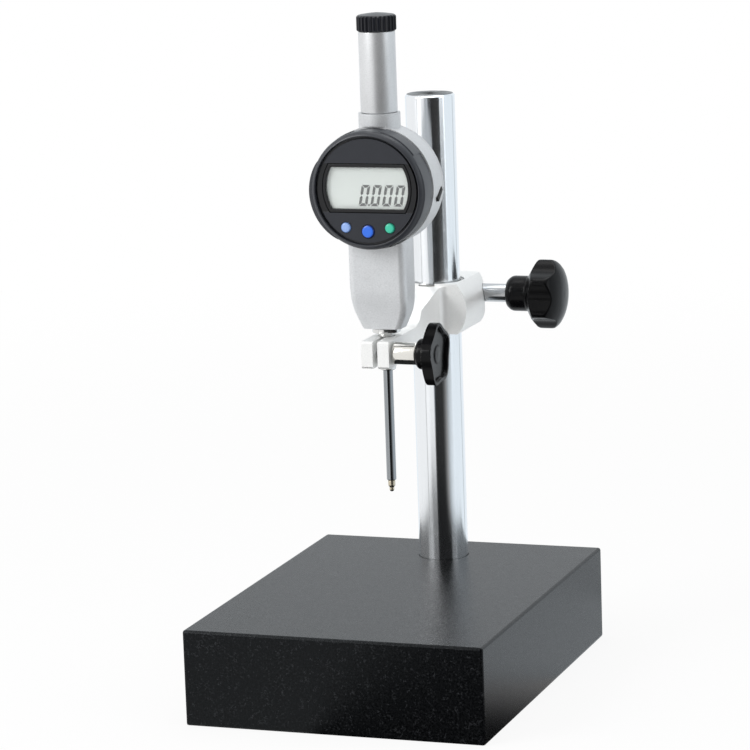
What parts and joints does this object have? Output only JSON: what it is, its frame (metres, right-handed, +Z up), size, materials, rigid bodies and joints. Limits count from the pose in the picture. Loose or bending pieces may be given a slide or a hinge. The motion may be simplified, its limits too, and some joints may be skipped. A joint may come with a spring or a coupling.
{
  "type": "digital height gauge",
  "caption": "Granite comparator stand with a column, a clamped arm and a long-travel digital indicator whose display turns and whose spindle slides.",
  "frame": {"origin": "centre of the granite base's underside", "axes": "+Z up along the column and the spindle, -Y towards the display and the user, +X to the user's right, where both knobs are"},
  "size_m": [0.15, 0.2054, 0.3317],
  "materials": {
    "granite": "lapped black granite",
    "chrome": "polished hard chrome",
    "steel": "turned and hardened",
    "nickel": "bright nickel plate",
    "satin_aluminium": "satin chrome",
    "silver_paint": "fine-textured silver paint on die-cast metal",
    "black_plastic": "glossy black",
    "charcoal_plastic": "fine satin",
    "window_black": "printed black border",
    "brass": "turned",
    "rubber": "matte",
    "circuit_board": "solder mask",
    "glass": "clear",
    "screen": "reflective liquid crystal display",
    "pale_blue_key": "satin",
    "blue_key": "satin",
    "green_key": "satin"
  },
  "bodies": {
    "base": {"granite_base": "granite", "column": "chrome", "column_bolt": "steel", "column_washer": "steel"},
    "sleeve": {"guide_sleeve": "brass"},
    "arm": {"arm": "satin_aluminium"},
    "lock_spacer": {"lock_spacer": "chrome"},
    "lock_knob": {"lock_knob": "black_plastic", "lock_stud": "steel"},
    "clamp_collar": {"clamp_collar": "nickel"},
    "clamp_knob": {"clamp_knob": "black_plastic", "clamp_screw": "steel"},
    "gauge": {"gauge_case": "silver_paint", "back_cover": "silver_paint", "cover_screw_1": "steel", "cover_screw_2": "steel", "cover_screw_3": "steel", "cover_screw_4": "steel", "stem": "steel", "top_tube": "silver_paint", "upper_bush": "brass", "tube_cap": "black_plastic", "data_port": "rubber", "guide_rod": "steel", "scale_plate": "glass", "main_board": "circuit_board"},
    "spindle": {"spindle": "steel", "contact_point": "brass", "spindle_carrier": "black_plastic", "pickup_plate": "circuit_board", "return_spring": "steel"},
    "display": {"bezel": "charcoal_plastic", "face_panel": "charcoal_plastic", "window_frame": "window_black", "window_lens": "glass", "lcd_module": "screen", "display_board": "circuit_board", "face_clip": "steel"},
    "tray": {"battery_tray": "black_plastic", "battery": "chrome"},
    "left_key": {"left_button": "pale_blue_key"},
    "centre_key": {"centre_button": "blue_key"},
    "right_key": {"right_button": "green_key"}
  },
  "joints": [
    {"name": "arm_height", "type": "slide", "parent": "base", "child": "sleeve", "axis": [0, 0, 1], "range_m": [-0.049, 0.09]},
    {"name": "arm_swing", "type": "hinge", "parent": "sleeve", "child": "arm", "pos_m": [0, 0.07, 0.177], "axis": [0, 0, 1], "continuous": true},
    {"name": "lock_travel", "type": "slide", "parent": "arm", "child": "lock_spacer", "axis": [1, 0, 0], "range_m": [0, 0.002]},
    {"name": "lock_turn", "type": "hinge", "parent": "lock_spacer", "child": "lock_knob", "pos_m": [0, 0.09, 0.18], "axis": [1, 0, 0], "range_deg": [0, 724]},
    {"name": "clamp_travel", "type": "slide", "parent": "arm", "child": "clamp_collar", "axis": [1, 0, 0], "range_m": [0, 0.0016]},
    {"name": "clamp_turn", "type": "hinge", "parent": "clamp_collar", "child": "clamp_knob", "pos_m": [0, -0.016, 0.168], "axis": [1, 0, 0], "range_deg": [0, 724]},
    {"name": "gauge_turn", "type": "hinge", "parent": "arm", "child": "gauge", "pos_m": [0, -0.006, 0.168], "axis": [0, 0, 1], "continuous": true},
    {"name": "face_turn", "type": "hinge", "parent": "gauge", "child": "display", "pos_m": [0, -0.0285, 0.2486], "axis": [0, 1, 0], "range_deg": [-165, 165]},
    {"name": "left_press", "type": "slide", "parent": "display", "child": "left_key", "axis": [0, 1, 0], "range_m": [0, 0.0008], "stiffness_N_per_m": 300, "springref_m": -0.0008},
    {"name": "centre_press", "type": "slide", "parent": "display", "child": "centre_key", "axis": [0, 1, 0], "range_m": [0, 0.0008], "stiffness_N_per_m": 300, "springref_m": -0.0008},
    {"name": "right_press", "type": "slide", "parent": "display", "child": "right_key", "axis": [0, 1, 0], "range_m": [0, 0.0008], "stiffness_N_per_m": 300, "springref_m": -0.0008},
    {"name": "spindle_slide", "type": "slide", "parent": "gauge", "child": "spindle", "axis": [0, 0, 1], "range_m": [0, 0.0508], "stiffness_N_per_m": 10, "springref_m": -0.06, "deforming": ["return_spring"]},
    {"name": "battery_slide", "type": "slide", "parent": "display", "child": "tray", "axis": [-0.5592, 0, 0.829], "range_m": [0, 0.014]}
  ],
  "couplings": [
    {"joint": "lock_turn", "follows": "lock_travel", "rad_per_m": 6283.2},
    {"joint": "clamp_turn", "follows": "clamp_travel", "rad_per_m": 7854}
  ]
}
